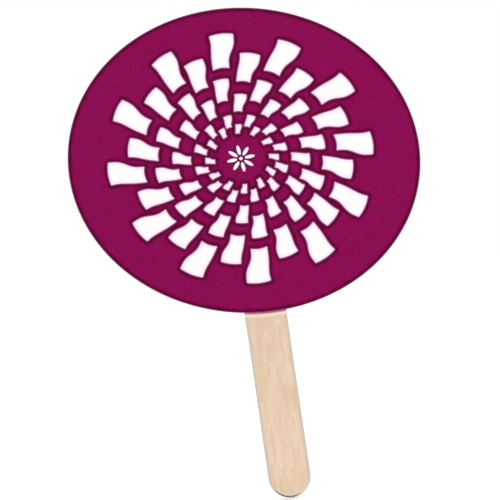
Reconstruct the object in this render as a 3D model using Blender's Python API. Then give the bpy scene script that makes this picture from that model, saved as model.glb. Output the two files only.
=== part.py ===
"""Paper hand fan on a flat wooden stick.

The blade is two oval cards bonded face to face. The upper half of the stick lies
between them. The front card stays flat, and the back card is pressed over the stick,
so it rises in a long hump that closes round the stick's top end and opens at the
blade's lower edge, where the handle comes out.

Frame: metres. +Z runs up the stick, the printed front faces -Y, and the origin is in
the middle of the stick's thickness, halfway along the part of the handle that shows.
"""

import math

import bmesh
import bpy
from mathutils import Vector

MM = 0.001
INCH = 25.4 * MM

# Handle: a large craft stick with half-round ends
STICK_LENGTH = 8 * INCH
STICK_WIDTH = 1 * INCH
STICK_THICKNESS = 2.0 * MM
STICK_EASED_EDGE = 0.35 * MM
EASED_EDGE_LIMIT_SHARE = 0.4
HANDLE_SHOWING = 112.3 * MM

# Blade: two cards cut to the same oval, glued on slightly to the right of the stick's middle
BLADE_LONG_AXIS = 212.0 * MM
BLADE_SHORT_AXIS = 183.4 * MM
BLADE_TURN = math.radians(11.6)
BLADE_SIDE_OFFSET = 0.46 * MM
CARD_THICKNESS = 0.5 * MM

# Hump of the back card over the stick
HUMP_SIDE_ROOM = 0.4 * MM
HUMP_SHOULDER = 9.0 * MM

# Double-sided film between the cards, and tape strips on both faces of the stick
FILM_THICKNESS = 0.15 * MM
FILM_INSET = 1.2 * MM
FILM_SLOT_ROOM = 0.5 * MM
TAPE_THICKNESS = 0.15 * MM
TAPE_WIDTH = 19.0 * MM
TAPE_CORNER = 1.5 * MM
TAPE_FROM_STICK_END = 6.0 * MM
TAPE_FROM_BLADE_EDGE = 4.0 * MM

# Room left between a bonded face and the next one
BOND_GAP = 0.05 * MM

# A cutter reaches this far past what it cuts
CUT_OVERRUN = 5.0 * MM

# Points nearer than this are one point
SAME_POINT = 0.005 * MM

# How finely round outlines are divided
OVAL_SIDES = 144
STICK_END_SIDES = 24
HUMP_END_SIDES = 28
HUMP_SHOULDER_STEPS = 10
TAPE_CORNER_SIDES = 4

# Heights along the stick
BUTT_Z = -HANDLE_SHOWING / 2
BLADE_EDGE_Z = HANDLE_SHOWING / 2
STICK_TOP_Z = BUTT_Z + STICK_LENGTH

# Layers from front to back. The stick's middle is at Y = 0.
STICK_BACK_Y = STICK_THICKNESS / 2
STICK_FRONT_Y = -STICK_BACK_Y
TAPE_FRONT_Y = STICK_FRONT_Y - BOND_GAP - TAPE_THICKNESS
FRONT_CARD_INNER_Y = TAPE_FRONT_Y - BOND_GAP
FRONT_CARD_OUTER_Y = FRONT_CARD_INNER_Y - CARD_THICKNESS
FILM_FRONT_Y = FRONT_CARD_INNER_Y + BOND_GAP
BACK_CARD_INNER_Y = FILM_FRONT_Y + FILM_THICKNESS + BOND_GAP
TAPE_BACK_Y = STICK_BACK_Y + BOND_GAP
HUMP_INNER_Y = TAPE_BACK_Y + TAPE_THICKNESS + BOND_GAP
HUMP_RISE = HUMP_INNER_Y - BACK_CARD_INNER_Y

# Half the width of the hump's flat top, before its shoulders
HUMP_FLAT_HALF = STICK_WIDTH / 2 + HUMP_SIDE_ROOM


def linear_colour(red, green, blue):
    """Turns a colour read from a screen, 0 to 255, into the linear values that shaders use."""

    def linear(channel):
        share = channel / 255
        return share / 12.92 if share <= 0.04045 else ((share + 0.055) / 1.055) ** 2.4

    return (linear(red), linear(green), linear(blue), 1.0)


WINE_PRINT = linear_colour(140, 16, 83)
BIRCH = linear_colour(232, 205, 180)
CLEAR_ADHESIVE = linear_colour(226, 222, 205)
TAPE_CREAM = linear_colour(238, 232, 214)


def make_material(name, colour, roughness, metallic=0.0):
    """A Principled material with one colour."""
    material = bpy.data.materials.new(name)
    material.use_nodes = True
    shader = material.node_tree.nodes["Principled BSDF"]
    shader.inputs["Base Color"].default_value = colour
    shader.inputs["Roughness"].default_value = roughness
    shader.inputs["Metallic"].default_value = metallic
    material.diffuse_color = colour
    return material


def oval_reach(angle):
    """Distance from the blade's centre to its rim, at this angle from its long axis."""
    along = math.cos(angle) / (BLADE_LONG_AXIS / 2)
    across = math.sin(angle) / (BLADE_SHORT_AXIS / 2)
    return 1 / math.hypot(along, across)


# Straight down from its centre the rim is at a quarter turn less the blade's own turn
BLADE_CENTRE_Z = BLADE_EDGE_Z + oval_reach(math.pi / 2 - BLADE_TURN)


def oval_outline(inset):
    """Corners of the blade's oval, drawn in from the rim by the inset, in the blade's own axes."""
    half_long = BLADE_LONG_AXIS / 2 - inset
    half_short = BLADE_SHORT_AXIS / 2 - inset
    turns = [math.tau * step / OVAL_SIDES for step in range(OVAL_SIDES)]
    return [(half_long * math.cos(turn), half_short * math.sin(turn)) for turn in turns]


def round_ended_outline(half_width, low_z, high_z, sides):
    """A strip with half-round ends, whose tips are at the low and the high end."""
    points = []
    for centre_z, first_turn in ((high_z - half_width, 0), (low_z + half_width, math.pi)):
        for step in range(sides + 1):
            turn = first_turn + math.pi * step / sides
            points.append((half_width * math.cos(turn), centre_z + half_width * math.sin(turn)))
    return points


def round_cornered_outline(half_width, half_length, radius, sides):
    """A rectangle about the origin with quarter-round corners."""
    points = []
    for corner, (side_x, side_z) in enumerate(((1, 1), (-1, 1), (-1, -1), (1, -1))):
        centre_x = side_x * (half_width - radius)
        centre_z = side_z * (half_length - radius)
        for step in range(sides + 1):
            turn = math.pi / 2 * (corner + step / sides)
            points.append((centre_x + radius * math.cos(turn), centre_z + radius * math.sin(turn)))
    return points


def object_from(name, shape, material, place=(0, 0, 0), turn=0):
    """Makes a named object from a bmesh, and puts it at its place, turned about Y."""
    bmesh.ops.recalc_face_normals(shape, faces=shape.faces)
    mesh = bpy.data.meshes.new(name)
    shape.to_mesh(mesh)
    shape.free()
    if material:
        mesh.materials.append(material)
    made = bpy.data.objects.new(name, mesh)
    made.location = place
    made.rotation_euler = (0, turn, 0)
    bpy.context.scene.collection.objects.link(made)
    return made


def plate(outline, thickness):
    """A flat plate: the outline in X and Z at Y = 0, thickened towards +Y."""
    shape = bmesh.new()
    face = shape.faces.new([shape.verts.new((x, 0, z)) for x, z in outline])
    thicken(shape, [face], thickness)
    return shape


def thicken(shape, faces, thickness):
    """Extrudes the faces straight back by the thickness, which closes the solid."""
    grown = bmesh.ops.extrude_face_region(shape, geom=faces, use_keep_orig=True)["geom"]
    corners = [item for item in grown if isinstance(item, bmesh.types.BMVert)]
    bmesh.ops.translate(shape, verts=corners, vec=(0, thickness, 0))


def cut_with(target, cutter, operation):
    """Adds an exact Boolean to the target. The cutter stays as a wire guide."""
    cutter.hide_render = True
    cutter.display_type = "WIRE"
    cutter.parent = target.parent
    step = target.modifiers.new(cutter.name, "BOOLEAN")
    step.operation = operation
    step.object = cutter
    step.solver = "EXACT"


def shade_round(made, angle):
    """Smooth shading that keeps the corners sharper than the angle."""
    made.data.shade_smooth()
    made.data.set_sharp_from_angle(angle=angle)


def hump_height(distance):
    """How far the back card stands off at this distance from the stick's middle line.

    It is the full rise over the stick, nothing past the shoulder, and an S curve between.
    """
    share = min(max((distance - HUMP_FLAT_HALF) / HUMP_SHOULDER, 0), 1)
    return HUMP_RISE * (1 - share * share * (3 - 2 * share))


def pressed_sheet():
    """The back card before it is cut to the oval: a sheet that rises over the stick.

    Rings of points follow the stick's middle line at set distances, up one side, round
    its top end and down the other side, and each takes the hump's height there.
    """
    sheet_half = BLADE_LONG_AXIS / 2 + abs(BLADE_SIDE_OFFSET) + CUT_OVERRUN
    foot = Vector((0, 0, BLADE_CENTRE_Z - sheet_half))
    end_centre = Vector((0, 0, STICK_TOP_Z - STICK_WIDTH / 2))
    end_turns = [math.pi * step / HUMP_END_SIDES for step in range(HUMP_END_SIDES + 1)]
    centres = [foot] + [end_centre] * len(end_turns) + [foot]
    turns = [0] + end_turns + [math.pi]

    steps = [HUMP_SHOULDER * step / HUMP_SHOULDER_STEPS for step in range(HUMP_SHOULDER_STEPS + 1)]
    past_the_oval = (BLADE_CENTRE_Z + sheet_half - end_centre.z) * math.sqrt(2)
    distances = [0] + [HUMP_FLAT_HALF + step for step in steps] + [past_the_oval]

    shape = bmesh.new()
    rings = []
    for distance in distances:
        ring = []
        for centre, turn in zip(centres, turns):
            outward = Vector((math.cos(turn), 0, math.sin(turn))) * distance
            ring.append(shape.verts.new(centre + outward + Vector((0, hump_height(distance), 0))))
        rings.append(ring)
    for inner, outer in zip(rings, rings[1:]):
        for step in range(len(turns) - 1):
            shape.faces.new((inner[step], inner[step + 1], outer[step + 1], outer[step]))
    bmesh.ops.remove_doubles(shape, verts=shape.verts, dist=SAME_POINT)
    thicken(shape, list(shape.faces), CARD_THICKNESS)
    return shape


def make_front_card(fan):
    """The flat printed card."""
    card = object_from(
        "front_card",
        plate(oval_outline(0), CARD_THICKNESS),
        make_material("wine_printed_card", WINE_PRINT, 0.55),
        (BLADE_SIDE_OFFSET, FRONT_CARD_OUTER_Y, BLADE_CENTRE_Z),
        BLADE_TURN,
    )
    card.parent = fan


def make_back_card(fan):
    """The second card, pressed over the stick and cut to the same oval as the first."""
    card = object_from(
        "back_card",
        pressed_sheet(),
        make_material("wine_printed_back", WINE_PRINT, 0.6),
        (0, BACK_CARD_INNER_Y, 0),
    )
    card.parent = fan
    depth = HUMP_RISE + CARD_THICKNESS + 2 * CUT_OVERRUN
    oval = object_from(
        "oval_cutter",
        plate(oval_outline(0), depth),
        None,
        (BLADE_SIDE_OFFSET, BACK_CARD_INNER_Y - CUT_OVERRUN, BLADE_CENTRE_Z),
        BLADE_TURN,
    )
    cut_with(card, oval, "INTERSECT")
    shade_round(card, math.radians(30))


def make_handle_stick(fan):
    """The flat wooden stick, with eased edges all round."""
    outline = round_ended_outline(STICK_WIDTH / 2, BUTT_Z, STICK_TOP_Z, STICK_END_SIDES)
    birch = make_material("birch", BIRCH, 0.7)
    stick = object_from("handle_stick", plate(outline, STICK_THICKNESS), birch, (0, STICK_FRONT_Y, 0))
    stick.parent = fan
    eased = stick.modifiers.new("eased_edge", "BEVEL")
    eased.width = min(STICK_EASED_EDGE, STICK_THICKNESS * EASED_EDGE_LIMIT_SHARE)
    eased.segments = 2
    eased.limit_method = "ANGLE"
    eased.angle_limit = math.radians(40)
    shade_round(stick, math.radians(50))


def make_bonding_film(fan):
    """The double-sided film between the cards, cut away where the back card lifts."""
    film = object_from(
        "card_bonding_film",
        plate(oval_outline(FILM_INSET), FILM_THICKNESS),
        make_material("clear_adhesive", CLEAR_ADHESIVE, 0.35),
        (BLADE_SIDE_OFFSET, FILM_FRONT_Y, BLADE_CENTRE_Z),
        BLADE_TURN,
    )
    film.parent = fan
    slot_half = HUMP_FLAT_HALF + HUMP_SHOULDER + FILM_SLOT_ROOM
    slot_top = STICK_TOP_Z - STICK_WIDTH / 2 + slot_half
    slot_low = BUTT_Z - slot_half
    slot = object_from(
        "slot_cutter",
        plate(
            round_ended_outline(slot_half, slot_low, slot_top, STICK_END_SIDES),
            FILM_THICKNESS + 2 * CUT_OVERRUN,
        ),
        None,
        (0, FILM_FRONT_Y - CUT_OVERRUN, 0),
    )
    cut_with(film, slot, "DIFFERENCE")


def make_stick_tapes(fan):
    """The two strips that hold the stick, one to each card."""
    cream = make_material("cream_tape", TAPE_CREAM, 0.5)
    low_z = BLADE_EDGE_Z + TAPE_FROM_BLADE_EDGE
    high_z = STICK_TOP_Z - TAPE_FROM_STICK_END
    for name, front_y in (("stick_tape_front", TAPE_FRONT_Y), ("stick_tape_back", TAPE_BACK_Y)):
        tape = object_from(
            name,
            plate(
                round_cornered_outline(
                    TAPE_WIDTH / 2, (high_z - low_z) / 2, TAPE_CORNER, TAPE_CORNER_SIDES
                ),
                TAPE_THICKNESS,
            ),
            cream,
            (0, front_y, (low_z + high_z) / 2),
        )
        tape.parent = fan


def make_fan():
    """Clears the scene and makes the whole fan under one empty at the grip."""
    for old in list(bpy.data.objects):
        bpy.data.objects.remove(old, do_unlink=True)
    fan = bpy.data.objects.new("hand_fan", None)
    bpy.context.scene.collection.objects.link(fan)
    make_front_card(fan)
    make_back_card(fan)
    make_handle_stick(fan)
    make_bonding_film(fan)
    make_stick_tapes(fan)


make_fan()
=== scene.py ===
# %% [markdown]
# # A paddle fan: two printed cards on a flat wooden stick
#
# This lesson dresses a finished construction model. The model holds the real sizes of
# the two oval cards, the stick and the glue between them. Nothing here moves or resizes
# it: every new surface takes its place from the model's own boxes.

# %% Load the construction model
import math

import bmesh
import bpy
import numpy as np
from mathutils import Matrix, Vector
from mathutils.geometry import delaunay_2d_cdt


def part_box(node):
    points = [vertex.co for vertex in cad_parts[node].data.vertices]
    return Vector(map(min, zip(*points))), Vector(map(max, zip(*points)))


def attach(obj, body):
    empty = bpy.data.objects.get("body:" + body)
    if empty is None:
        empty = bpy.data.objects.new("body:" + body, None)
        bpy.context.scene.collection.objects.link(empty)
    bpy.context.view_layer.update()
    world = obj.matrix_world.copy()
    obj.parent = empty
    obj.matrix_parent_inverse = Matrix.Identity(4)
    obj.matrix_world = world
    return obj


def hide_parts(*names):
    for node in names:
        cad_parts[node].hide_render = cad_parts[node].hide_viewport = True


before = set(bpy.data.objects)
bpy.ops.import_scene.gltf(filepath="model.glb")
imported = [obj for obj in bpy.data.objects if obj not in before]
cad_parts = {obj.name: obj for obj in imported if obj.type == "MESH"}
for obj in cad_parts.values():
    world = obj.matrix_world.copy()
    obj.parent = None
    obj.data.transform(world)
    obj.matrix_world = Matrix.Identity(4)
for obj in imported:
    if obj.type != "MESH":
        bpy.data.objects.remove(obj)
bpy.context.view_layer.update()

MM = 0.001
print("construction pieces:", sorted(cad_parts))

# %% [markdown]
# ## Sizes read from the model
#
# A box gives a tilted oval's half width and half height, but not its axes. The tilt is
# known, so the two half axes follow from the two half extents: each extent squared is a
# mix of both axes squared, and that pair of sums is solved here. The hump of the back
# card follows the stick, so its sizes come from the stick's box and the card's own.

# %% The blade, the stick and the hump
BLADE_TURN = math.radians(11.6)
HUMP_SIDE_ROOM = 0.4 * MM
HUMP_SHOULDER = 9.0 * MM

front_low, front_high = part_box("front_card")
back_low, back_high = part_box("back_card")
stick_low, stick_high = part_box("handle_stick")

blade_x = (front_low.x + front_high.x) / 2
blade_z = (front_low.z + front_high.z) / 2
reach_x = (front_high.x - front_low.x) / 2
reach_z = (front_high.z - front_low.z) / 2
turn_cos, turn_sin = math.cos(BLADE_TURN), math.sin(BLADE_TURN)
HALF_LONG = math.sqrt(
    ((reach_x * turn_cos) ** 2 - (reach_z * turn_sin) ** 2) / math.cos(2 * BLADE_TURN)
)
HALF_SHORT = math.sqrt(
    ((reach_z * turn_cos) ** 2 - (reach_x * turn_sin) ** 2) / math.cos(2 * BLADE_TURN)
)
CARD_THICKNESS = front_high.y - front_low.y
STICK_HALF_WIDTH = (stick_high.x - stick_low.x) / 2
HUMP_RISE = back_high.y - back_low.y - CARD_THICKNESS
print(f"blade {2 * HALF_LONG / MM:.1f} x {2 * HALF_SHORT / MM:.1f} mm")
print(f"hump {HUMP_RISE / MM:.2f} mm")

# %% [markdown]
# ## From a grid of points to a mesh
#
# Most pieces here are one closed surface: rows of points that go from the middle of one
# face, out over the edge and back to the middle of the other face, with columns that run
# round the piece. numpy works out all the points at once, and one helper joins them with
# quads. The first and last rows shrink to a point or a line, so doubles are merged, which
# closes the surface, and only then are the normals turned outwards.


# %% Turns, and the round edge of a sheet
def full_turn(count):
    """This many even turns, all the way round."""
    return np.linspace(0, math.tau, count, endpoint=False)


def turned(x, z, turn):
    """Side and up of points turned from the side towards up: a rotation's two sums."""
    cos, sin = np.cos(turn), np.sin(turn)
    return x * cos - z * sin, x * sin + z * cos


def edge_arc(radius, steps):
    """A quarter arc from a face to a wall: its turns, and how far in and down each one lies."""
    turn = np.linspace(0, math.pi / 2, steps + 1)
    return turn, radius * (1 - np.sin(turn)), radius * (1 - np.cos(turn))


# %% Helpers that turn arrays into pieces
SAME_POINT = 0.0002 * MM


def put_in_scene(name, data):
    """A new object that holds this data, in the scene's collection."""
    made = bpy.data.objects.new(name, data)
    bpy.context.scene.collection.objects.link(made)
    return made


def wrapped_quads(rows, columns):
    """Corner numbers of the quads between neighbouring rows, columns closed into a ring."""
    row, column = np.meshgrid(np.arange(rows - 1), np.arange(columns), indexing="ij")
    following = (column + 1) % columns
    corners = [row * columns + column, row * columns + following]
    corners += [(row + 1) * columns + following, (row + 1) * columns + column]
    return np.stack(corners, axis=-1).reshape(-1, 4)


def piece_from(name, points, faces, smooth_below=35, values=None):
    """A mesh object in place: doubles merged, normals out, smooth where faces meet gently.

    values holds arrays with one number for each point, which materials read by name.
    """
    mesh = bpy.data.meshes.new(name)
    mesh.from_pydata(points.reshape(-1, 3).tolist(), [], faces)
    for value_name, numbers in (values or {}).items():
        attribute = mesh.attributes.new(value_name, "FLOAT", "POINT")
        attribute.data.foreach_set("value", np.ascontiguousarray(numbers, np.float32).ravel())
    shape = bmesh.new()
    shape.from_mesh(mesh)
    bmesh.ops.remove_doubles(shape, verts=shape.verts, dist=SAME_POINT)
    bmesh.ops.recalc_face_normals(shape, faces=shape.faces)
    shape.to_mesh(mesh)
    shape.free()
    mesh.shade_smooth()
    mesh.set_sharp_from_angle(angle=math.radians(smooth_below))
    print(f"{name}: {len(mesh.vertices)} points, {len(mesh.polygons)} faces")
    return put_in_scene(name, mesh)


def grid_piece(name, grid, **options):
    """A closed piece from a grid of points whose columns run all the way round."""
    return piece_from(name, grid, wrapped_quads(*grid.shape[:2]).tolist(), **options)


# %% [markdown]
# ## Paint as arithmetic
#
# A shader is a formula, so it reads best as one. Painted wraps a socket and overloads the
# usual operators: each sum or product with one in it adds a Math node. Palette holds one
# tree of nodes, and its method `node` adds any other kind. A Finish is the palette of one
# material.


# %% A socket that can be added and multiplied
class Painted:
    """A value inside a tree of nodes. Arithmetic on it adds Math nodes."""

    def __init__(self, palette, socket):
        self.palette = palette
        self.socket = socket

    def maths(self, operation, *others):
        """One Math node of this operation, on this value and up to two more."""
        return self.palette.node("Math", {"operation": operation}, dict(enumerate([self, *others])))

    def __add__(self, other):
        return self.maths("ADD", other)

    def __sub__(self, other):
        return self.maths("SUBTRACT", other)

    def __rsub__(self, other):
        return self.palette.number(other).maths("SUBTRACT", self)

    def __mul__(self, other):
        return self.maths("MULTIPLY", other)

    def __truediv__(self, other):
        return self.maths("DIVIDE", other)

    def __rtruediv__(self, other):
        return self.palette.number(other).maths("DIVIDE", self)

    __radd__ = __add__
    __rmul__ = __mul__


# %% The nodes of one tree, and of one material
class Palette:
    """One tree of nodes, added by short calls."""

    def __init__(self, tree):
        self.tree = tree

    def node(self, kind, settings=None, sockets=None, out=0):
        """Adds a node: first its settings, then a value or a link for each named socket."""
        made = self.tree.nodes.new("ShaderNode" + kind)
        for setting, value in (settings or {}).items():
            setattr(made, setting, value)
        for socket, value in (sockets or {}).items():
            self.feed(made.inputs[socket], value)
        return Painted(self, made.outputs[out])

    def feed(self, socket, value):
        """Links a painted value to a socket, or sets the socket to a plain one."""
        if isinstance(value, Painted):
            self.tree.links.new(value.socket, socket)
        else:
            socket.default_value = value

    def number(self, value):
        """A plain number as a painted value."""
        made = self.tree.nodes.new("ShaderNodeValue")
        made.outputs[0].default_value = value
        return Painted(self, made.outputs[0])

    def axes(self, vector):
        """The X, Y and Z of a vector, as three painted values."""
        split = self.node("SeparateXYZ", sockets={0: vector}).socket.node
        return [Painted(self, output) for output in split.outputs]

    def between(self, value, low, high, new_low=0.0, new_high=1.0):
        """Spreads low..high over new_low..new_high with an S curve, and stops at both ends."""
        settings = {"interpolation_type": "SMOOTHSTEP"}
        return self.node("MapRange", settings, {0: value, 1: low, 2: high, 3: new_low, 4: new_high})

    def mix(self, share, first, second):
        """A colour between two colours."""
        return self.node("Mix", {"data_type": "RGBA"}, {0: share, 6: first, 7: second}, out=2)

    def shade(self, colour, amount):
        """A colour made lighter or darker by a painted factor."""
        plain = colour if isinstance(colour, Painted) else colour[:3]
        grey = self.node("CombineXYZ", sockets={0: amount, 1: amount, 2: amount})
        return self.node("VectorMath", {"operation": "MULTIPLY"}, {0: plain, 1: grey})


class Finish(Palette):
    """The palette of one material, whose noises lie in the piece's own metres."""

    def __init__(self, name, specular):
        self.material = bpy.data.materials.new(name)
        self.material.use_nodes = True
        super().__init__(self.material.node_tree)
        self.shader = self.tree.nodes["Principled BSDF"]
        self.shader.inputs["Specular IOR Level"].default_value = specular
        self.place = self.node("TexCoord", out="Object")

    def carried(self, name):
        """A number that the piece carries on its points, by its name."""
        return self.node("Attribute", {"attribute_name": name}, out="Fac")

    def noise(self, size, stretch=(1, 1, 1), detail=2.0, twist=0.0, shift=0.0):
        """Noise from 0 to 1 whose grains are this size in metres, drawn out by stretch."""
        spread = tuple(1 / (size * along) for along in stretch)
        sockets = {"Vector": self.place, "Location": (shift, shift, shift), "Scale": spread}
        moved = self.node("Mapping", sockets=sockets)
        sockets = {"Vector": moved, "Scale": 1.0, "Detail": detail, "Distortion": twist}
        return self.node("TexNoise", sockets=sockets)

    def patches(self, size, band, **options):
        """Noise whose middle band is spread over 0 to 1, so that patches stand apart."""
        return self.between(self.noise(size, **options), *band)

    def wear(self, colour, roughness, height=None, depth=0.0, strength=0.0):
        """Feeds the shader its colour and roughness, and a bump of this depth in metres."""
        self.feed(self.shader.inputs["Base Color"], colour)
        self.feed(self.shader.inputs["Roughness"], roughness)
        if height is not None:
            sockets = {"Height": height, "Distance": depth, "Strength": strength}
            self.feed(self.shader.inputs["Normal"], self.node("Bump", sockets=sockets))
        return self.material


def dress(piece, material):
    """Gives a piece this material and no other."""
    piece.data.materials.clear()
    piece.data.materials.append(material)
    print(piece.name, "gets", material.name)


# %% Colours as they are read from a screen
def screen_colour(red, green, blue):
    """The linear colour behind a screen colour given as 0 to 255, by the sRGB standard."""
    share = np.array([red, green, blue]) / 255
    linear = np.where(share <= 0.04045, share / 12.92, ((share + 0.055) / 1.055) ** 2.4)
    return (*[float(channel) for channel in linear], 1.0)


WINE_RED = screen_colour(139, 6, 78)
WINE_PURPLE = screen_colour(134, 9, 78)
WINE_BLUE = screen_colour(136, 23, 110)
PLUM = screen_colour(86, 1, 43)
THIN_INK = screen_colour(178, 100, 147)
CARD_WHITE = screen_colour(250, 250, 249)
CARD_CORE = screen_colour(236, 232, 224)

# %% [markdown]
# ## The rosette as one shape
#
# The print is a wine field with seventy-two bare windows: six rings of twelve. All the
# windows are one shape, made larger with the ring's radius and turned on from ring to
# ring, so the ornament needs no list of outlines. A place on a window is given as shares
# of the ring's radius: u outwards, v across. Four curves bound the window, and each can be
# drawn in by a share. The ornament is a little uneven, as if set by hand: a ring's middle
# strays to the side and up or down, and in the second, third and fourth ring four of the
# twelve windows, a cross, stand off by one small step that grows and turns with the ring.
# In the others it is pairs, mostly opposite ones. The whole ornament is slightly oval.

# %% Where the rosette and its rings lie
ROSETTE_X = -1.69 * MM
ROSETTE_Z = 1.34 * MM
ROSETTE_TURN = math.radians(-16.5)
ROSETTE_STRETCH_SHARES = (1.0325, 0.967)
ARMS = 12
RING_RADII = np.array([19.35, 24.8, 36.05, 45.1, 59.0, 69.9]) * MM
RING_TURNS = np.radians([26.45, 9.45, 22.6, 5.3, 17.05, 0.2])
RING_SIDES = np.array([0.38, 0.15, 0.16, -0.32, -0.21, -0.25]) * MM
RING_RISES = np.array([-0.07, -0.07, -0.04, 0.05, 0.07, 0.06]) * MM
WINDOW_INSET = 0.28 * MM

# %% The four curves that bound a window
INNER_END_SHARE, INNER_HOLLOW_SHARE = -0.1873, 0.0139
INNER_MIDDLE_SHARE, INNER_SPREAD_SHARE = 0.026, 0.0745
OUTER_END_SHARE, OUTER_BOW_SHARE = 0.117, 0.017
OUTER_MIDDLE_SHARE, OUTER_SPREAD_SHARE = -0.0075, 0.112
LEADING_SHARE, LEADING_SWING_SHARE = -0.0788, 0.0389
LEADING_MIDDLE_SHARE, LEADING_SPREAD_SHARE = -0.0493, 0.061
TRAILING_SHARE, TRAILING_DIP_SHARE = 0.1023, 0.0179
TRAILING_MIDDLE_SHARE, TRAILING_SPREAD_SHARE = 0.0427, 0.1024


def inner_end(v, inset):
    """The window's end near the middle: a parabola, hollowed towards the rim."""
    hollow = (v - INNER_MIDDLE_SHARE) / INNER_SPREAD_SHARE
    return INNER_END_SHARE - INNER_HOLLOW_SHARE * hollow**2 + inset


def outer_end(v, inset):
    """The window's far end: a parabola, bowed towards the rim."""
    bow = (v - OUTER_MIDDLE_SHARE) / OUTER_SPREAD_SHARE
    return OUTER_END_SHARE - OUTER_BOW_SHARE * bow**2 - inset


def leading_side(u, inset):
    """The side with the S curve, a hyperbolic tangent: narrow near the middle, wide outside."""
    swing = np.tanh((u - LEADING_MIDDLE_SHARE) / LEADING_SPREAD_SHARE)
    return LEADING_SHARE - LEADING_SWING_SHARE * swing + inset


def trailing_side(u, inset):
    """The nearly straight side, with one long shallow dip: a bell curve."""
    dip = (u - TRAILING_MIDDLE_SHARE) / TRAILING_SPREAD_SHARE
    return TRAILING_SHARE - TRAILING_DIP_SHARE * np.exp(-(dip**2)) - inset


# %% Which windows stray, and how far
# Each entry is the windows that stray together, the step as a share of the ring's radius,
# and the way it goes, in degrees on from the ring's own turn.
CROSS_SHARES = (((1, 4, 7, 10), 0.026, 15.5),)
FIRST_RING_SHARES = (
    ((0, 6), 0.018, 143.5),
    ((2, 8), 0.0125, -164.5),
    ((3, 9), 0.0125, 17.5),
    ((4, 10), 0.019, 63.5),
    ((5, 11), 0.019, -66.5),
)
FIFTH_RING_SHARES = (((0, 6), 0.026, -14.5), ((4, 10), 0.022, 35.0), ((1, 9), 0.0096, -48.0))
LAST_RING_SHARES = (((1, 7), 0.03, 16.5), ((4, 10), 0.026, 15.5), ((3, 9), 0.0037, 166.0))
STRAY_SHARES = (
    FIRST_RING_SHARES,
    CROSS_SHARES,
    CROSS_SHARES,
    CROSS_SHARES,
    FIFTH_RING_SHARES,
    LAST_RING_SHARES,
)


def window_steps():
    """How far each window of each ring stands from its even place: rings, arms, two axes."""
    steps = np.zeros((len(RING_RADII), ARMS, 2))
    steps += np.stack([RING_SIDES, RING_RISES], axis=-1)[:, None]
    for ring, strays in enumerate(STRAY_SHARES):
        for arms, share, way in strays:
            turn = RING_TURNS[ring] + math.radians(way)
            step = share * RING_RADII[ring] * np.array([math.cos(turn), math.sin(turn)])
            steps[ring, list(arms)] += step
    return steps


def rosette_to_blade(x, z):
    """Points drawn on the round rosette, stretched into an oval and put on the blade."""
    major, minor = turned(x, z, -ROSETTE_TURN)
    major_share, minor_share = ROSETTE_STRETCH_SHARES
    side, up = turned(major * major_share, minor * minor_share, ROSETTE_TURN)
    return np.stack([side + ROSETTE_X, up + ROSETTE_Z], axis=-1)


# %% [markdown]
# ## Outlines of the windows
#
# The four curves meet in four corners. Each corner is where an end curve and a side curve
# agree, and going from one to the other a few times homes in on it. Points are then
# spread along each side, closer together towards the corners, and smoothed once with
# their neighbours, which rounds the corners a very little, as a printed corner is.

# %% One window's outline, then all of them
SIDE_POINTS = 20
OUTLINE_POINTS = 4 * SIDE_POINTS
CORNER_CROWDING_SHARE = 0.6
CORNER_ROUNDS = 12


def corner(end_curve, side_curve, inset):
    """Where an end and a side meet, by going from one curve to the other."""
    v = 0.0
    for _ in range(CORNER_ROUNDS):
        u = end_curve(v, inset)
        v = side_curve(u, inset)
    return u, v


def crowded_steps(start, end):
    """Values from start up to, but without, end: a line less a sine, which crowds both ends."""
    share = np.linspace(0, 1, SIDE_POINTS, endpoint=False)
    share = share - CORNER_CROWDING_SHARE * np.sin(math.tau * share) / math.tau
    return start + (end - start) * share


def rounded(outline):
    """Each point drawn halfway to the middle of its two neighbours."""
    neighbours = (np.roll(outline, 1, axis=0) + np.roll(outline, -1, axis=0)) / 2
    return (outline + neighbours) / 2


def window_outline(inset):
    """The window's outline in shares of its ring's radius, seen from its ring's place."""
    near_lead = corner(inner_end, leading_side, inset)
    far_lead = corner(outer_end, leading_side, inset)
    near_trail = corner(inner_end, trailing_side, inset)
    far_trail = corner(outer_end, trailing_side, inset)
    lead_u = crowded_steps(near_lead[0], far_lead[0])
    far_v = crowded_steps(far_lead[1], far_trail[1])
    trail_u = crowded_steps(far_trail[0], near_trail[0])
    near_v = crowded_steps(near_trail[1], near_lead[1])
    sides = [
        np.stack([lead_u, leading_side(lead_u, inset)], axis=-1),
        np.stack([outer_end(far_v, inset), far_v], axis=-1),
        np.stack([trail_u, trailing_side(trail_u, inset)], axis=-1),
        np.stack([inner_end(near_v, inset), near_v], axis=-1),
    ]
    return rounded(np.vstack(sides))


def all_windows():
    """Outlines of every window on the blade: windows, points, then side and up.

    A point's place on the ring's first arm is the ring's radius times its shares. It is
    then turned onto each arm and moved by the window's step.
    """
    outlines = np.stack([window_outline(WINDOW_INSET / radius) for radius in RING_RADII])
    place = RING_RADII[:, None, None] * (outlines + [1.0, 0.0])
    arm_turns = RING_TURNS[:, None] + full_turn(ARMS)
    x, z = turned(place[:, None, :, 0], place[:, None, :, 1], arm_turns[..., None])
    steps = window_steps()[:, :, None, :]
    moved = rosette_to_blade(x + steps[..., 0], z + steps[..., 1])
    return moved.reshape(-1, OUTLINE_POINTS, 2)


windows = all_windows()
print("windows:", len(windows), "of", OUTLINE_POINTS, "points each")

# %% [markdown]
# The bare middle of the rosette gets a small daisy, a stock printer's ornament: a dot
# and eight petals. A petal is an ellipse that lies along its arm.

# %% The little daisy in the middle
PETALS = 8
PETAL_POINTS = 28
PETAL_MIDDLE = 5.3 * MM
PETAL_HALF_LENGTH = 3.0 * MM
PETAL_HALF_WIDTH = 1.05 * MM
DOT_RADIUS = 1.0 * MM
DAISY_TURN = math.radians(6.0)


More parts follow.
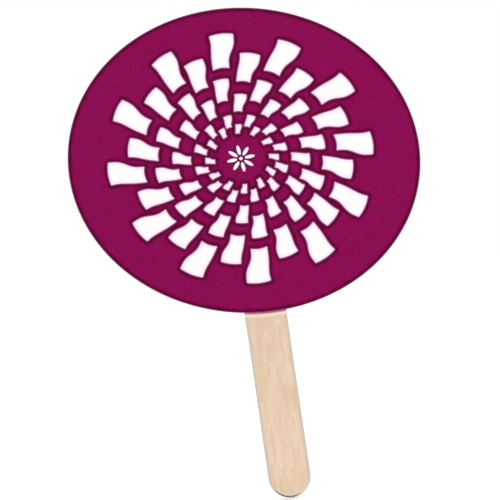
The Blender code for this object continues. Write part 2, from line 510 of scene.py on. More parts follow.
def daisy_outlines():
    """The ellipse of each petal, turned onto its arm, and the round dot."""
    around = full_turn(PETAL_POINTS)
    along = PETAL_MIDDLE + PETAL_HALF_LENGTH * np.cos(around)
    across = PETAL_HALF_WIDTH * np.sin(around)
    x, z = turned(along, across, DAISY_TURN + full_turn(PETALS)[:, None])
    x = np.vstack([x, DOT_RADIUS * np.cos(around)])
    z = np.vstack([z, DOT_RADIUS * np.sin(around)])
    return rosette_to_blade(x, z)


daisy = daisy_outlines()
print("daisy:", len(daisy), "outlines of", PETAL_POINTS, "points each")

# %% [markdown]
# ## The oval rim
#
# Everything on the blade ends at the same oval. A point of the rim is found by its turn,
# and it can be drawn in along the rim's own normal, which keeps an edge band the same
# width all round, as a rounded cut edge needs.

# %% Points on and inside the rim
RIM_POINTS = 480
TRACE = 1e-9


def oval_points(turn, inset, share=1.0):
    """Side and up from the blade's centre: the rim at this turn, drawn in, then scaled."""
    x, z = HALF_LONG * np.cos(turn), HALF_SHORT * np.sin(turn)
    normal_x, normal_z = HALF_SHORT * np.cos(turn), HALF_LONG * np.sin(turn)
    length = np.hypot(normal_x, normal_z)
    x = (x - inset * normal_x / length) * share
    z = (z - inset * normal_z / length) * share
    return turned(x, z, -BLADE_TURN)


def rim_distance(x, z):
    """How far inside the rim a point is: one less its scaled radius, over how fast that grows.

    Both radius and slope are nothing at the centre, so each gets a trace there.
    """
    along, across = turned(x, z, BLADE_TURN)
    along, across = along / HALF_LONG, across / HALF_SHORT
    away = np.hypot(along, across) + TRACE
    slope = np.hypot(along / HALF_LONG, across / HALF_SHORT) + TRACE / HALF_SHORT
    return (1 - away) * away / slope


# %% [markdown]
# ## How far from an edge
#
# A dark plum line runs along the rim and round every window, and it fades with the
# distance from the edge. That distance is worked out here for whole arrays of points, and
# each piece keeps it as a number on its points, so a material only has to read it. An
# outline is a closed run of straight stretches. The nearest place on a stretch is found
# by its share along the stretch, held between nothing and one.

# %% Distance to the nearest edge
LINE_REACH = 4.0 * MM
DAISY_LINE_SHARE = 0.3


def outline_distance(points, outlines, reach):
    """Distance from each point to the nearest outline, at most reach, and minus inside one.

    A point is inside an outline where an odd number of stretches pass on its right.
    """
    nearest = np.full(len(points), reach)
    for outline in outlines:
        middle = outline.mean(axis=0)
        size = np.hypot(*(outline - middle).T).max()
        close = np.flatnonzero(np.hypot(*(points - middle).T) < size + reach)
        along = np.roll(outline, -1, axis=0) - outline
        from_start = points[close][:, None] - outline
        share = np.clip((from_start * along).sum(-1) / (along**2).sum(-1), 0, 1)
        gap = from_start - share[..., None] * along
        distance = np.hypot(gap[..., 0], gap[..., 1]).min(axis=1)
        below, next_below = from_start[..., 1] < 0, from_start[..., 1] < along[:, 1]
        rise = np.where(along[:, 1] == 0, 1, along[:, 1])
        on_right = from_start[..., 0] < from_start[..., 1] * along[:, 0] / rise
        inside = ((below != next_below) & on_right).sum(axis=1) % 2 == 1
        nearest[close] = np.minimum(nearest[close], np.where(inside, -distance, distance))
    return nearest


def opening_distance(points):
    """Distance from a point of the print to the nearest window or petal.

    A petal's line is thinner, so its distances are stretched.
    """
    to_window = outline_distance(points, windows, LINE_REACH)
    to_daisy = outline_distance(points, daisy, LINE_REACH * DAISY_LINE_SHARE)
    return np.minimum(to_window, to_daisy / DAISY_LINE_SHARE)


def print_distance(points):
    """Distance from a point of the print to the nearest edge of the rim, a window or a petal."""
    return np.minimum(rim_distance(*points.T), opening_distance(points))


# %% [markdown]
# ## The ink
#
# Ink lies on a card as a very thin skin, and a bare window is a hole in that skin. So the
# ink is modelled as one: a sheet two hundredths of a millimetre thick with all the
# windows open, laid on a plain white card. The windows then keep a crisp edge at any
# distance, which a painted mask would lose. A constrained Delaunay triangulation fills the
# sheet: it is given the rim and the windows as faces and says which of them each triangle
# lies in. The triangles that lie in the rim alone are ink, and the others are the bare
# windows, which become a sheet half as thick, the board's white coating. Loose points lie
# in rings round and inside each window and petal and, further out, on a grid of triangles,
# so that the number for the edge distance has somewhere to be kept.

# %% Loose points where the dark line fades
RING_DEPTHS = np.array([0.35, 0.7, 1.05]) * MM
INSIDE_DEPTHS = np.array([-0.4, -0.8, -1.3, -2.1]) * MM
OWN_EDGE_SHARE = 0.8
LOOSE_SPACING = 1.0 * MM
DAISY_SPACING = 0.35 * MM
DAISY_FIELD = 9.5 * MM
EDGE_CLEARANCE_SHARE = 0.5


def ring_points(outlines, depth):
    """Points this far straight out from each outline's own points, or in where it is minus.

    A point is kept where no other edge is much nearer.
    """
    along = np.roll(outlines, -1, axis=1) - np.roll(outlines, 1, axis=1)
    outwards = np.stack([along[..., 1], -along[..., 0]], axis=-1)
    outwards /= np.hypot(along[..., 0], along[..., 1])[..., None]
    points = (outlines + depth * outwards).reshape(-1, 2)
    distance = outline_distance(points, outlines, 2 * abs(depth))
    return points[distance / depth > OWN_EDGE_SHARE]


def triangle_grid(half_width, spacing):
    """Points on rows a little closer than the spacing, every other row shifted by half of it."""
    across = np.arange(-half_width, half_width, spacing)
    up = np.arange(-half_width, half_width, spacing * math.sqrt(3) / 2)
    shift = np.where(np.arange(len(up)) % 2 == 0, 0, spacing / 2)
    x = across[None, :] + shift[:, None]
    return np.stack([x, np.broadcast_to(up[:, None], x.shape)], axis=-1).reshape(-1, 2)


def loose_points():
    """Rings beside the openings' edges, then grid points, finer by the daisy than elsewhere."""
    fine = triangle_grid(DAISY_FIELD, DAISY_SPACING) + [ROSETTE_X, ROSETTE_Z]
    coarse = triangle_grid(HALF_LONG, LOOSE_SPACING)
    from_middle = coarse - [ROSETTE_X, ROSETTE_Z]
    coarse = coarse[np.abs(from_middle).max(axis=1) > DAISY_FIELD]
    depths = [*RING_DEPTHS, *INSIDE_DEPTHS]
    kept = [ring_points(windows, depth) for depth in depths]
    kept += [ring_points(daisy, depth * DAISY_LINE_SHARE) for depth in depths]
    for points, spacing in ((fine, DAISY_SPACING), (coarse, LOOSE_SPACING)):
        to_rim, to_opening = rim_distance(*points.T), opening_distance(points)
        clearance = spacing * EDGE_CLEARANCE_SHARE
        clear = (to_rim > clearance) & (to_opening > RING_DEPTHS[-1] + clearance)
        kept.append(points[clear & (np.minimum(to_rim, to_opening) < LINE_REACH)])
    return np.vstack(kept)


# %% Fill the print's plane with triangles
INK_RIM_INSET = 0.03 * MM
FILL_WHOLE_HULL = 0
FILL_TOLERANCE = 1e-9


def print_plane(holes):
    """Places on the blade, the triangles in the rim alone, and those in one of the holes."""
    rim = np.stack(oval_points(full_turn(RIM_POINTS), INK_RIM_INSET), axis=-1)
    loops = [rim, *holes]
    starts = np.cumsum([0] + [len(loop) for loop in loops])
    flat = np.vstack([*loops, loose_points()])
    numbers = [list(range(start, end)) for start, end in zip(starts, starts[1:])]
    vectors = [Vector(point) for point in flat.tolist()]
    found, _, faces, _, _, lies_in = delaunay_2d_cdt(
        vectors, [], numbers, FILL_WHOLE_HULL, FILL_TOLERANCE
    )
    inked_faces = [face for face, owners in zip(faces, lies_in) if owners == [0]]
    bare_faces = [face for face, owners in zip(faces, lies_in) if len(owners) == 2]
    return np.array(found), np.array(inked_faces), np.array(bare_faces)


places, inked, bare = print_plane([*windows, *daisy])
print("the print's plane:", len(inked), "inked and", len(bare), "bare triangles")

# %% Give the ink and the bare windows a thickness
INK_THICKNESS = 0.02 * MM
INK_LIFT = 0.002 * MM
COATING_SHARE = 0.5


def thin_sheet(name, triangles, front_y, back_y, measures):
    """A closed sheet of these triangles of the print's plane, from front_y back to back_y.

    Each edge that only one triangle uses lies on the border and gets a wall. measures holds
    functions that work out a number for each point from its place.
    """
    used, triangles = np.unique(triangles, return_inverse=True)
    triangles = triangles.reshape(-1, 3)
    flat = places[used]
    count = len(flat)
    side, up = flat.T[0] + blade_x, flat.T[1] + blade_z
    front = np.stack([side, np.full(count, front_y), up], axis=-1)
    behind = np.stack([side, np.full(count, back_y), up], axis=-1)
    edges = np.vstack([triangles[:, [0, 1]], triangles[:, [1, 2]], triangles[:, [2, 0]]])
    undirected = np.sort(edges, axis=1)
    _, first, uses = np.unique(undirected, axis=0, return_index=True, return_counts=True)
    start, end = edges[first[uses == 1]].T
    walls = np.stack([end, start, start + count, end + count], axis=-1)
    faces = triangles.tolist() + (triangles[:, ::-1] + count).tolist() + walls.tolist()
    values = {kind: np.tile(measure(flat), 2) for kind, measure in measures.items()}
    return piece_from(name, np.vstack([front, behind]), faces, values=values)


ink_front_y = front_low.y
ink_back_y = ink_front_y + INK_THICKNESS
coating_front_y = ink_back_y - INK_THICKNESS * COATING_SHARE
ink_measures = {"from_edge": print_distance, "from_opening": opening_distance}
ink = thin_sheet("front_ink", inked, ink_front_y, ink_back_y, ink_measures)
bare_windows = thin_sheet(
    "bare_windows", bare, coating_front_y, ink_back_y, {"from_opening": opening_distance}
)

# %% [markdown]
# ## The two cards
#
# A die cuts both cards from heavy white board, and it leaves the cut edge very slightly
# rounded. A card is therefore a row profile carried round the oval: out across the front
# face, round the edge in two quarter arcs, and back in. On the back card every point is
# lifted by the hump, whose height depends only on the distance from the stick's middle
# line, full over the stick and gone past the shoulder, with an S curve between. Columns
# crowd towards the handle, where the hump needs them.

# %% The shape of the hump
line_end_z = stick_high.z - STICK_HALF_WIDTH


def line_distance(x, z):
    """Distance from the stick's middle line, which ends where its round end is centred."""
    past_the_end = np.maximum(z - line_end_z, 0)
    return np.hypot(x, past_the_end)


def hump_height(x, z):
    """How far the back card stands off at a point of the frame."""
    flat_half = STICK_HALF_WIDTH + HUMP_SIDE_ROOM
    share = np.clip((line_distance(x, z) - flat_half) / HUMP_SHOULDER, 0, 1)
    return HUMP_RISE * (1 - share * share * (3 - 2 * share))


# %% A card as a profile carried round the oval
EDGE_ROUND = 0.05 * MM
EDGE_ARC_STEPS = 5
CARD_COLUMNS = 420
CROWDING_SHARE = 0.55


def card_grid(front_y, back_y, rings, lift):
    """Rows from the front's middle over the edge to the back's middle, columns round the oval.

    Also gives how far each point has turned from a face, 0, to the cut wall, 1.
    """
    shares = np.linspace(0, 1, rings + 1)
    arc, arc_insets, arc_drops = edge_arc(EDGE_ROUND, EDGE_ARC_STEPS)
    face_insets = np.full(rings + 1, EDGE_ROUND)
    share = np.concatenate([shares, np.ones(2 * len(arc)), shares[::-1]])
    inset = np.concatenate([face_insets, arc_insets, arc_insets[::-1], face_insets])
    front_face, back_face = np.full(rings + 1, front_y), np.full(rings + 1, back_y)
    y = np.concatenate([front_face, front_y + arc_drops, (back_y - arc_drops)[::-1], back_face])
    around = full_turn(CARD_COLUMNS)
    handle_turn = -math.pi / 2
    turn = handle_turn + around - CROWDING_SHARE * np.sin(around)
    x, z = oval_points(turn[None, :], inset[:, None], share[:, None])
    x, z = x + blade_x, z + blade_z
    wall_rows = np.concatenate([0 * shares, arc, arc[::-1], 0 * shares]) / arc[-1]
    wall = np.repeat(wall_rows[:, None], CARD_COLUMNS, axis=1)
    return np.stack([x, y[:, None] + lift(x, z), z], axis=-1), wall


FRONT_RINGS = 24
BACK_RINGS = 84
front_grid, front_wall = card_grid(
    front_low.y + INK_THICKNESS + INK_LIFT, front_high.y, FRONT_RINGS, lambda x, z: 0 * x
)
front_board = grid_piece("front_board", front_grid, values={"wall": front_wall})

# %% The back card, with its print marked on its outer face
# The strain of the fold is nothing on the flat and on the hump, and one halfway up.
back_flat_y = back_low.y + CARD_THICKNESS
back_grid, back_wall = card_grid(back_low.y, back_flat_y, BACK_RINGS, hump_height)
hidden_rows = (BACK_RINGS + 1) + (EDGE_ARC_STEPS + 1)
printed = 1.0 - back_wall
printed[:hidden_rows] = 0.0
back_x, back_z = back_grid[..., 0], back_grid[..., 2]
hump_share = hump_height(back_x, back_z) / HUMP_RISE
fold_strain = 4 * hump_share * (1 - hump_share)
back_rim = np.clip(rim_distance(back_x - blade_x, back_z - blade_z), 0, LINE_REACH)
back_marks = {"printed": printed, "fold": fold_strain, "from_edge": back_rim}
back_board = grid_piece("back_board", back_grid, values=back_marks)

# %% [markdown]
# ## The wooden stick
#
# A craft stick is cut from birch veneer and tumbled, which takes the sharpness off its
# edges. A bevelled box would do for the shape, but here a profile is carried round the
# stick's middle line: each column points straight out from the line, so the columns run
# along the sides and fan out at the ends. Every point then knows its share of the way out
# and its turn, and the wood's finish needs both.

# %% Carry the stick's profile round its middle line
STICK_EDGE = 0.4 * MM
STICK_ARC_STEPS = 6
STICK_END_COLUMNS = 48
STICK_SIDE_COLUMNS = 80
STICK_FACE_SHARES = (0.0, 0.3, 0.6, 0.85, 0.97, 1.0)
SHADED_END_LEAN = math.radians(14.0)


def stick_grid():
    """Rows from the front's middle line over the edge to the back's, columns round the stick.

    Also gives each row's share of the way out and each column's turn.
    """
    half = STICK_HALF_WIDTH
    top_z, foot_z = stick_high.z - half, stick_low.z + half
    end = np.linspace(0, math.pi, STICK_END_COLUMNS + 1)
    side = np.linspace(0, 1, STICK_SIDE_COLUMNS + 1)[1:-1]
    level = np.full_like(side, math.pi)
    turn = np.concatenate([end, level, end + math.pi, np.zeros_like(side)])
    down = top_z + (foot_z - top_z) * side
    top, foot = np.full_like(end, top_z), np.full_like(end, foot_z)
    centre_z = np.concatenate([top, down, foot, down[::-1]])
    _, arc_insets, arc_drops = edge_arc(STICK_EDGE, STICK_ARC_STEPS)
    face_out = np.array(STICK_FACE_SHARES) * (half - STICK_EDGE)
    out = np.concatenate([face_out, half - arc_insets[1:]])
    drop = np.concatenate([0 * face_out, arc_drops[1:]])
    y = np.concatenate([stick_low.y + drop, (stick_high.y - drop)[::-1]])
    out = np.concatenate([out, out[::-1]])
    x = out[:, None] * np.cos(turn)[None, :]
    z = centre_z[None, :] + out[:, None] * np.sin(turn)[None, :]
    points = np.stack([x, np.broadcast_to(y[:, None], x.shape), z], axis=-1)
    return points, out / half, turn


stick_points, out_share, stick_turn = stick_grid()
end_share = np.sin(stick_turn) ** 2
shaded_share = np.sin(stick_turn + SHADED_END_LEAN) ** 2
stick_marks = {
    "outwards": np.broadcast_to(out_share[:, None], stick_points.shape[:2]),
    "end_grain": np.broadcast_to(end_share[None, :], stick_points.shape[:2]),
    "shaded_end": np.broadcast_to(shaded_share[None, :], stick_points.shape[:2]),
}
stick = grid_piece("birch_stick", stick_points, smooth_below=50, values=stick_marks)

# %% [markdown]
# ## The printed finish
#
# The photograph shows a wine field that turns to a dark plum line along the rim and round
# every window. A picture of the print would blur close up, so the pieces carry their
# distance to the nearest edge, and the line fades with it along an S curve. The field is
# not quite even: it is mottled a little from red to purple and to blue, over a few
# millimetres, with a finer grain where the ink sits in the paper's tooth. Right at a
# window the ink thins out and turns rosy, and a little less so at the rim, where the die
# has cut through it.

# %% The tooth of the paper
TOOTH_GRAIN = 0.35 * MM
FELT_GRAIN = 1.6 * MM
GRAIN_SHARE = 0.6
TOOTH_ROUGHNESS = 0.16
CARD_BUMP = 0.03 * MM
CARD_BUMP_SHARE = 0.35


def card_tooth(finish):
    """Paper fibre under the ink: fine grain with a coarser felt mark."""
    grain = finish.noise(TOOTH_GRAIN, detail=4.0)
    felt = finish.noise(FELT_GRAIN, stretch=(1.0, 1.0, 1.7), detail=2.0)
    return grain * GRAIN_SHARE + felt * (1 - GRAIN_SHARE)


# %% Wine ink
KEY_LINE_FULL = 0.8 * MM
KEY_LINE_GONE = 3.4 * MM
KEY_LINE_WANDER = 0.5 * MM
THIN_INK_WIDTH = 1.0 * MM
THIN_RIM_WIDTH = 0.85 * MM
THIN_RIM_SHARE = 0.8
RED_PATCH = 4.8 * MM
BLUE_PATCH = 5.0 * MM
INK_GRAIN = 1.1 * MM
PATCH_BAND = (0.32, 0.68)
INK_GRAIN_BAND = (0.3, 0.7)
BLUE_SHARE = 0.14
INK_ROUGHNESS = 0.5
INK_BASE_SHARE, INK_GRAIN_SHARE, INK_TOOTH_SHARE = 0.92, 0.13, 0.04


def wine_finish(name):
    """Wine ink on card, with the plum line along its edges: finish, colour and tooth."""
    finish = Finish(name, specular=0.03)
    tooth = card_tooth(finish)
    redness = finish.patches(RED_PATCH, PATCH_BAND, detail=1.0)
    blueness = finish.patches(BLUE_PATCH, PATCH_BAND, detail=1.0, shift=9.0)
    grain = finish.patches(INK_GRAIN, INK_GRAIN_BAND, detail=1.0, shift=3.0)
    field = finish.mix(redness, WINE_PURPLE, WINE_RED)
    field = finish.mix(blueness * BLUE_SHARE, field, WINE_BLUE)
    wandering = finish.carried("from_edge") + (redness - 0.5) * KEY_LINE_WANDER
    key_line = finish.between(wandering, KEY_LINE_FULL, KEY_LINE_GONE, 1.0, 0.0)
    colour = finish.mix(key_line, field, PLUM)
    light = INK_BASE_SHARE + grain * INK_GRAIN_SHARE + tooth * INK_TOOTH_SHARE
    return finish, finish.shade(colour, light), tooth


finish, ink_colour, tooth = wine_finish("wine_ink")
to_opening, to_edge = finish.carried("from_opening"), finish.carried("from_edge")
thin_rim = finish.between(to_edge, 0.0, THIN_RIM_WIDTH, THIN_RIM_SHARE, 0.0)
thin_opening = finish.between(to_opening, 0.0, THIN_INK_WIDTH, 1.0, 0.0)
ink_colour = finish.mix(thin_opening.maths("MAXIMUM", thin_rim), ink_colour, THIN_INK)
ink_roughness = INK_ROUGHNESS + tooth * TOOTH_ROUGHNESS
dress(ink, finish.wear(ink_colour, ink_roughness, tooth, CARD_BUMP, CARD_BUMP_SHARE))
print("ink nodes:", len(finish.tree.nodes))

# %% [markdown]
# The bare board shows through the windows and at the cut edge. It is bleached white with
# faint fibres. The cut shows the board's core, a little warmer, in fine layers. Inside a
# window, a breath of pink from the ink tints the white for a millimetre or two.

# %% White board
BOARD_FIBRE = 0.5 * MM
BOARD_LAYER = 0.07 * MM
WHITE_ROUGHNESS, WHITE_TOOTH_ROUGHNESS = 0.75, 0.12
WHITE_BASE_SHARE, WHITE_TOOTH_SHARE, WHITE_FIBRE_SHARE = 0.985, 0.02, 0.01
CORE_BASE_SHARE, CORE_LAYER_SHARE, BACK_LAYER_SHARE = 0.9, 0.16, 0.14


def white_finish(name, pick_colour):
    """White board: pick_colour gets the finish and the shade of its fibres, and gives a colour."""
    finish = Finish(name, specular=0.2)
    tooth = card_tooth(finish)
    fibres = finish.noise(BOARD_FIBRE, stretch=(1.0, 1.0, 5.0), detail=3.0, twist=0.6)
    light = WHITE_BASE_SHARE + tooth * WHITE_TOOTH_SHARE + fibres * WHITE_FIBRE_SHARE
    roughness = WHITE_ROUGHNESS + tooth * WHITE_TOOTH_ROUGHNESS
    colour = pick_colour(finish, light)
    return finish.wear(colour, roughness, tooth, CARD_BUMP, CARD_BUMP_SHARE)


def core_colour(finish, layer_share):
    """The cut core of the board, in layers that lie flat across its thickness."""
    layers = finish.noise(BOARD_LAYER, stretch=(40.0, 1.0, 40.0), detail=3.0)
    return finish.shade(CARD_CORE, CORE_BASE_SHARE + layers * layer_share)


def board_colour(finish, light):
    """White on the faces, and the core's colour on the cut wall."""
    white = finish.shade(CARD_WHITE, light)
    return finish.mix(finish.carried("wall"), white, core_colour(finish, CORE_LAYER_SHARE))


dress(front_board, white_finish("white_board", board_colour))

# %% Window white
PINK_BREATH = screen_colour(255, 225, 246)
PINK_FULL = -0.3 * MM
PINK_GONE = -1.9 * MM


def window_colour(finish, light):
    """White that turns faintly pink towards the ink."""
    pink = finish.between(finish.carried("from_opening"), PINK_GONE, PINK_FULL)
    return finish.shade(finish.mix(pink, CARD_WHITE, PINK_BREATH), light)


dress(bare_windows, white_finish("window_white", window_colour))

# %% [markdown]
# The back of the fan was not photographed. It is given the same wine flood without the
# rosette. Where the card is pressed over the stick, the ink on the shoulders is stretched,
# so it is a touch lighter and duller there.

# %% Printed back
STRETCHED_INK = screen_colour(196, 120, 160)
STRETCH_SHARE = 0.05
BACK_ROUGHNESS = 0.52
BACK_BUMP_SHARE = 0.4
PRINT_BAND = (0.35, 0.65)

finish, back_ink, tooth = wine_finish("wine_back")
strain = finish.carried("fold") * STRETCH_SHARE
stretched = finish.mix(strain, back_ink, STRETCHED_INK)
print_share = finish.between(finish.carried("printed"), *PRINT_BAND)
back_colour = finish.mix(print_share, core_colour(finish, BACK_LAYER_SHARE), stretched)
back_roughness = BACK_ROUGHNESS + tooth * TOOTH_ROUGHNESS + strain
dress(back_board, finish.wear(back_colour, back_roughness, tooth, CARD_BUMP, BACK_BUMP_SHARE))

# %% [markdown]
# ## Birch
#
# Birch veneer is pale and quiet: soft cloudy figure, a few rosy and a few yellow patches,
# fine fibre lines and short darker pores, all drawn out along the stick. The eased long
# edges are painted greyer, a painted shade where they catch less light. At the round ends
# the fibres are cut across, and the very tip gets a thin dark line of painted shade, a
# little to the left of the middle, with a pale painted highlight on the bevel inside it.
# Right under the blade the wood gets a painted shade tinted wine by the card, and below
# that a paler band of painted light for a few millimetres. Higher up the handle the wood
# is painted a little darker, a painted shade that evens out the light on it. Wave textures
# would give even rings, which veneer does not have, so each layer is a noise stretched
# along Z, and they are mixed from wide to fine.

# %% Colours of the wood
BIRCH_PALE = screen_colour(236, 211, 187)
BIRCH_DEEP = screen_colour(224, 196, 167)
BIRCH_ROSY = screen_colour(235, 202, 182)
BIRCH_YELLOW = screen_colour(230, 205, 165)
BIRCH_PORE = screen_colour(196, 163, 132)
# Painted shade for the eased long edges.
BIRCH_EDGE_SHADE = screen_colour(209, 195, 181)
# Painted highlight for the bevel at the round ends.
BIRCH_BEVEL_HIGHLIGHT = screen_colour(240, 221, 202)
# Painted light for the paler band under the blade.
BIRCH_PAINTED_LIGHT = screen_colour(254, 224, 208)
# Painted shade for the very tip of the round ends.
PAINTED_TIP_SHADE = screen_colour(88, 77, 68)

# %% Layers of grain, as noises from wide to fine
FIGURE_GRAIN, ROSY_GRAIN, YELLOW_GRAIN = 3.4 * MM, 3.0 * MM, 3.6 * MM
STREAK_GRAIN, FIBRE_GRAIN, PORE_GRAIN, FLECK_GRAIN = 0.9 * MM, 0.3 * MM, 0.22 * MM, 0.8 * MM
FIGURE_BAND, PORE_BAND = (0.34, 0.68), (0.62, 0.74)
ROSY_BAND, YELLOW_BAND = (0.48, 0.7), (0.5, 0.72)
FIGURE_DRAW, PATCH_DRAW, STREAK_DRAW = (1.0, 1.0, 4.5), (1.0, 1.0, 5.0), (1.0, 1.0, 26.0)
FIBRE_DRAW, PORE_DRAW, FLECK_DRAW = (1.0, 1.0, 50.0), (1.0, 1.0, 12.0), (1.0, 1.0, 1.6)

finish = Finish("birch_veneer", specular=0.2)
figure = finish.patches(FIGURE_GRAIN, FIGURE_BAND, stretch=FIGURE_DRAW, detail=4.0, twist=0.5)
patch = {"stretch": PATCH_DRAW, "detail": 3.0, "twist": 0.7}
rosy = finish.patches(ROSY_GRAIN, ROSY_BAND, shift=5.0, **patch)
yellow = finish.patches(YELLOW_GRAIN, YELLOW_BAND, shift=37.0, **patch)
streak = finish.noise(STREAK_GRAIN, stretch=STREAK_DRAW, detail=3.0, shift=17.0)
fibre = finish.noise(FIBRE_GRAIN, stretch=FIBRE_DRAW, detail=4.0)
pores = finish.patches(PORE_GRAIN, PORE_BAND, stretch=PORE_DRAW, detail=2.0, shift=11.0)
fleck = finish.noise(FLECK_GRAIN, stretch=FLECK_DRAW, detail=3.0, shift=23.0)

# %% Figure, patches, fibres and pores, and a painted shade up the handle
PATCH_SHARE, PORE_SHARE = 0.8, 0.5
WOOD_BASE_SHARE, FIBRE_SHARE = 0.898, 0.15
STREAK_SHARE, FLECK_SHARE, HEIGHT_SHADE_SHARE = 0.04, 0.04, 0.03

side, _, up = finish.axes(finish.place)
up_the_handle = finish.between(up, stick_low.z, blade_z - HALF_SHORT)
light = WOOD_BASE_SHARE + fibre * FIBRE_SHARE + streak * STREAK_SHARE + fleck * FLECK_SHARE
# Painted shade: the wood is a little darker higher up the handle, which evens out the light on it.
light = light - up_the_handle * HEIGHT_SHADE_SHARE
wood = finish.mix(figure, BIRCH_PALE, BIRCH_DEEP)
wood = finish.mix(rosy * PATCH_SHARE, wood, BIRCH_ROSY)
wood = finish.mix(yellow * PATCH_SHARE, wood, BIRCH_YELLOW)
wood = finish.mix(pores * PORE_SHARE, finish.shade(wood, light), BIRCH_PORE)

# %% Painted shade on the edges and the tip, and a painted highlight on the bevel
# The bands are shares of the way out from the middle line, and their borders are ragged.
EDGE_BAND_SHARES, EDGE_SHADE_SHARE = (0.80, 0.93), 0.9
BEVEL_BAND_SHARES, BEVEL_SHARE = (0.82, 0.88), 0.8
TIP_BAND_SHARES, TIP_SHARE = (0.905, 0.945), 0.92
TIP_TURN_BAND_SHARES = (0.35, 1.0)
RAGGED_SHARE = 0.02

ragged = finish.carried("outwards") + (fibre + fleck - 1.0) * RAGGED_SHARE
# Painted shade: the eased long edges are painted greyer, where they catch less light.
wood = finish.mix(finish.between(ragged, *EDGE_BAND_SHARES) * EDGE_SHADE_SHARE, wood, BIRCH_EDGE_SHADE)
# Painted highlight: a pale band on the bevel at the round ends.
bevel_highlight = finish.between(ragged, *BEVEL_BAND_SHARES) * finish.carried("end_grain")
wood = finish.mix(bevel_highlight * BEVEL_SHARE, wood, BIRCH_BEVEL_HIGHLIGHT)
# Painted shade: a thin dark line on the very tip, a little to the left of the middle.
shaded_end = finish.between(finish.carried("shaded_end"), *TIP_TURN_BAND_SHARES)
tip = finish.between(ragged, *TIP_BAND_SHARES) * shaded_end
wood = finish.mix(tip * TIP_SHARE, wood, PAINTED_TIP_SHADE)

# %% Painted light and a painted wine-tinted shade under the blade
# Squared, the scaled radius grows twice as fast as the radius, so half of it is a distance.
PALE_FULL = 1.6 * MM
PALE_GONE = 3.6 * MM
WINE_SHADE_GONE = 1.5 * MM
UNDER_BLADE_SHARE = 0.9

along, across = turned(side - blade_x, up - blade_z, BLADE_TURN)
along, across = along / HALF_LONG, across / HALF_SHORT
under_blade = (along * along + across * across - 1.0) * (HALF_SHORT / 2)
# Painted light: a paler band a few millimetres below the blade's edge.
painted_light_band = finish.between(under_blade, PALE_FULL, PALE_GONE, UNDER_BLADE_SHARE, 0.0)
# Painted shade: a wine-tinted shade right under the blade's edge.
wine_shade = finish.between(under_blade, 0.0, WINE_SHADE_GONE, UNDER_BLADE_SHARE, 0.0)
wood = finish.mix(painted_light_band, wood, BIRCH_PAINTED_LIGHT)
wood = finish.mix(wine_shade, wood, WINE_RED)

# %% Roughness and relief of the wood
WOOD_ROUGHNESS, FIBRE_ROUGHNESS = 0.6, 0.16
FIBRE_RELIEF_SHARE, PORE_RELIEF_SHARE, FLECK_RELIEF_SHARE = 0.7, 0.6, 0.15
WOOD_BUMP, WOOD_BUMP_SHARE = 0.05 * MM, 0.45

relief = fibre * FIBRE_RELIEF_SHARE - pores * PORE_RELIEF_SHARE + fleck * FLECK_RELIEF_SHARE
wood_roughness = WOOD_ROUGHNESS + fibre * FIBRE_ROUGHNESS
dress(stick, finish.wear(wood, wood_roughness, relief, WOOD_BUMP, WOOD_BUMP_SHARE))
print("birch nodes:", len(finish.tree.nodes))

# %% [markdown]
# ## What is glued inside
#
# The film and the two tape strips stay as the construction model has them, because their
# shape is right. They only get a finish: a cloudy adhesive and a fibrous tissue tape.

# %% Film and tape
ADHESIVE_DULL = screen_colour(214, 208, 186)
ADHESIVE_CLEAR = screen_colour(236, 233, 220)
TISSUE_DULL = screen_colour(226, 218, 196)
TISSUE_WHITE = screen_colour(244, 240, 226)
CLOUD_GRAIN, CLOUD_BUMP_SHARE = 3.0 * MM, 0.3
TISSUE_GRAIN, TISSUE_BUMP_SHARE = 0.6 * MM, 0.4
FILM_ROUGHNESS, CLOUD_ROUGHNESS = 0.3, 0.25
TAPE_ROUGHNESS, TISSUE_ROUGHNESS = 0.5, 0.2
INSIDE_BUMP = 0.02 * MM

finish = Finish("cloudy_adhesive", specular=0.4)
clouds = finish.noise(CLOUD_GRAIN, detail=4.0)
colour = finish.mix(clouds, ADHESIVE_DULL, ADHESIVE_CLEAR)
roughness = FILM_ROUGHNESS + clouds * CLOUD_ROUGHNESS
film_material = finish.wear(colour, roughness, clouds, INSIDE_BUMP, CLOUD_BUMP_SHARE)

finish = Finish("tissue_tape", specular=0.3)
tissue = finish.noise(TISSUE_GRAIN, stretch=(1.0, 1.0, 4.0), detail=4.0, twist=1.2)
colour = finish.mix(tissue, TISSUE_DULL, TISSUE_WHITE)
roughness = TAPE_ROUGHNESS + tissue * TISSUE_ROUGHNESS
tape_material = finish.wear(colour, roughness, tissue, INSIDE_BUMP, TISSUE_BUMP_SHARE)

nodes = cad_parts
dress(nodes["card_bonding_film"], film_material)
dress(nodes["stick_tape_front"], tape_material)
dress(nodes["stick_tape_back"], tape_material)

# %% [markdown]
# ## Tie the pieces to the frame
#
# The fan has one rigid body. Each new piece rides on it, and the construction piece that it
# stands for is hidden.

# %% Ride and replace
for piece, node_name, slot_name in (
    (front_board, "front_card", "printed_front"),
    (ink, "front_card", "printed_front"),
    (bare_windows, "front_card", "printed_front"),
    (back_board, "back_card", "printed_back"),
    (stick, "handle_stick", "birch_stick"),
):
    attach(piece, "root")
    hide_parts(node_name)

# %% [markdown]
# ## A white studio
#
# The photograph is a cut-out on pure white, lit evenly. A white world gives most of the
# light, and a soft key from the upper left gives the eased edges their lighter and darker
# sides. Rays that come straight from the camera, by way of a shine or through something
# see the world at a strength of one, which is white, and all others see a dimmer one.

# %% A world that looks pure white and lights a little less
WORLD_LIGHT = 0.86

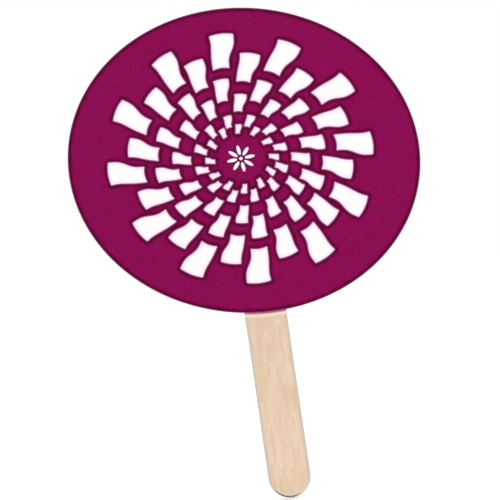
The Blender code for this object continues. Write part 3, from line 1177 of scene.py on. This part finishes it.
world = bpy.data.worlds.new("white_studio")
bpy.context.scene.world = world
world.use_nodes = True
sky = Palette(world.node_tree)
background = sky.tree.nodes["Background"]
sky.feed(background.inputs["Color"], (1.0, 1.0, 1.0, 1.0))
seen = sky.node("LightPath", out="Is Camera Ray")
for ray in ("Is Glossy Ray", "Is Transmission Ray"):
    seen = seen.maths("MAXIMUM", sky.node("LightPath", out=ray))
sky.feed(background.inputs["Strength"], WORLD_LIGHT + seen * (1 - WORLD_LIGHT))

# %% A floor that glows a little more far away, and only to the camera
FLOOR_DROP = 0.4 * MM
FLOOR_HALF = 6.0
FLOOR_WHITE = (0.9, 0.9, 0.9)
FLOOR_GRAIN = 0.25
FLOOR_BASE_SHARE, FLOOR_CLOUD_SHARE = 0.99, 0.01
FLOOR_ROUGHNESS = 0.9
FLOOR_GLOW_NEAR = 0.11
FLOOR_GLOW_FAR = 0.34
GLOW_NEAR = 0.25
GLOW_FAR = 1.6

floor_z = stick_low.z - FLOOR_DROP
corner_sides = np.array([(-1, -1), (1, -1), (1, 1), (-1, 1)]) * FLOOR_HALF
floor_points = np.column_stack([corner_sides, np.full(4, floor_z)])
floor = piece_from("studio_floor", floor_points, [(0, 1, 2, 3)])
finish = Finish("studio_white", specular=0.1)
cloud = finish.noise(FLOOR_GRAIN, detail=2.0)
by_camera = finish.node("LightPath", out="Is Camera Ray")
from_fan = finish.node("VectorMath", {"operation": "LENGTH"}, {0: finish.place}, out="Value")
level = finish.between(from_fan, GLOW_NEAR, GLOW_FAR, FLOOR_GLOW_NEAR, FLOOR_GLOW_FAR)
glow = finish.shade((1, 1, 1), level * by_camera)
finish.feed(finish.shader.inputs["Emission Color"], glow)
finish.shader.inputs["Emission Strength"].default_value = 1.0
colour = finish.shade(FLOOR_WHITE, FLOOR_BASE_SHARE + cloud * FLOOR_CLOUD_SHARE)
dress(floor, finish.wear(colour, FLOOR_ROUGHNESS))
print("floor at", round(floor_z / MM, 2), "mm")

# %% Three soft lamps
# Each lamp has a name, its place and size in metres, and its power in watts.
LAMPS = (
    ("key_softbox", (-0.9, -1.3, 1.2), 0.9, 5.0),
    ("fill_softbox", (1.3, -0.9, 0.7), 1.2, 2.0),
    ("back_softbox", (1.6, 1.3, 1.6), 1.0, 17.0),
)


def softbox(name, place, size, power):
    """A square lamp that faces the middle of the blade."""
    lamp = bpy.data.lights.new(name, "AREA")
    lamp.shape = "SQUARE"
    lamp.size = size
    lamp.energy = power
    holder = put_in_scene(name, lamp)
    aim = Vector((blade_x, 0, blade_z)) - Vector(place)
    holder.rotation_euler = aim.to_track_quat("-Z", "Y").to_euler()
    holder.location = place


for lamp in LAMPS:
    softbox(*lamp)
print("lamps:", len(LAMPS))

# %% [markdown]
# ## The camera
#
# The photograph looks straight at the front, and the fan leans in it: the stick's foot is
# to the right of its head by 8.3 degrees. The model stands upright, so the camera is
# rolled by that angle instead. A long lens far away keeps the oval free of perspective.

# %% Place the rolled camera
LEAN = math.radians(8.316)
VIEW_FIELD = 300.25 * MM
VIEW_SIDE = -4.25 * MM
VIEW_DOWN = 53.81 * MM
LENS = 150.0

camera_data = bpy.data.cameras.new("photo_view")
camera_data.lens = LENS
camera_distance = VIEW_FIELD * LENS / camera_data.sensor_width
camera_data.clip_end = 50.0
camera = put_in_scene("photo_view", camera_data)
right = Vector((math.cos(LEAN), 0, -math.sin(LEAN)))
up = Vector((math.sin(LEAN), 0, math.cos(LEAN)))
towards_viewer = right.cross(up)
camera_place = Vector((blade_x + VIEW_SIDE, front_low.y, blade_z - VIEW_DOWN))
camera_place += towards_viewer * camera_distance
camera_turn = Matrix((right, up, towards_viewer)).transposed().to_4x4()
camera.matrix_world = Matrix.Translation(camera_place) @ camera_turn
bpy.context.scene.camera = camera
bpy.context.scene.view_settings.view_transform = "Standard"
print("camera at", [round(value, 3) for value in camera_place])
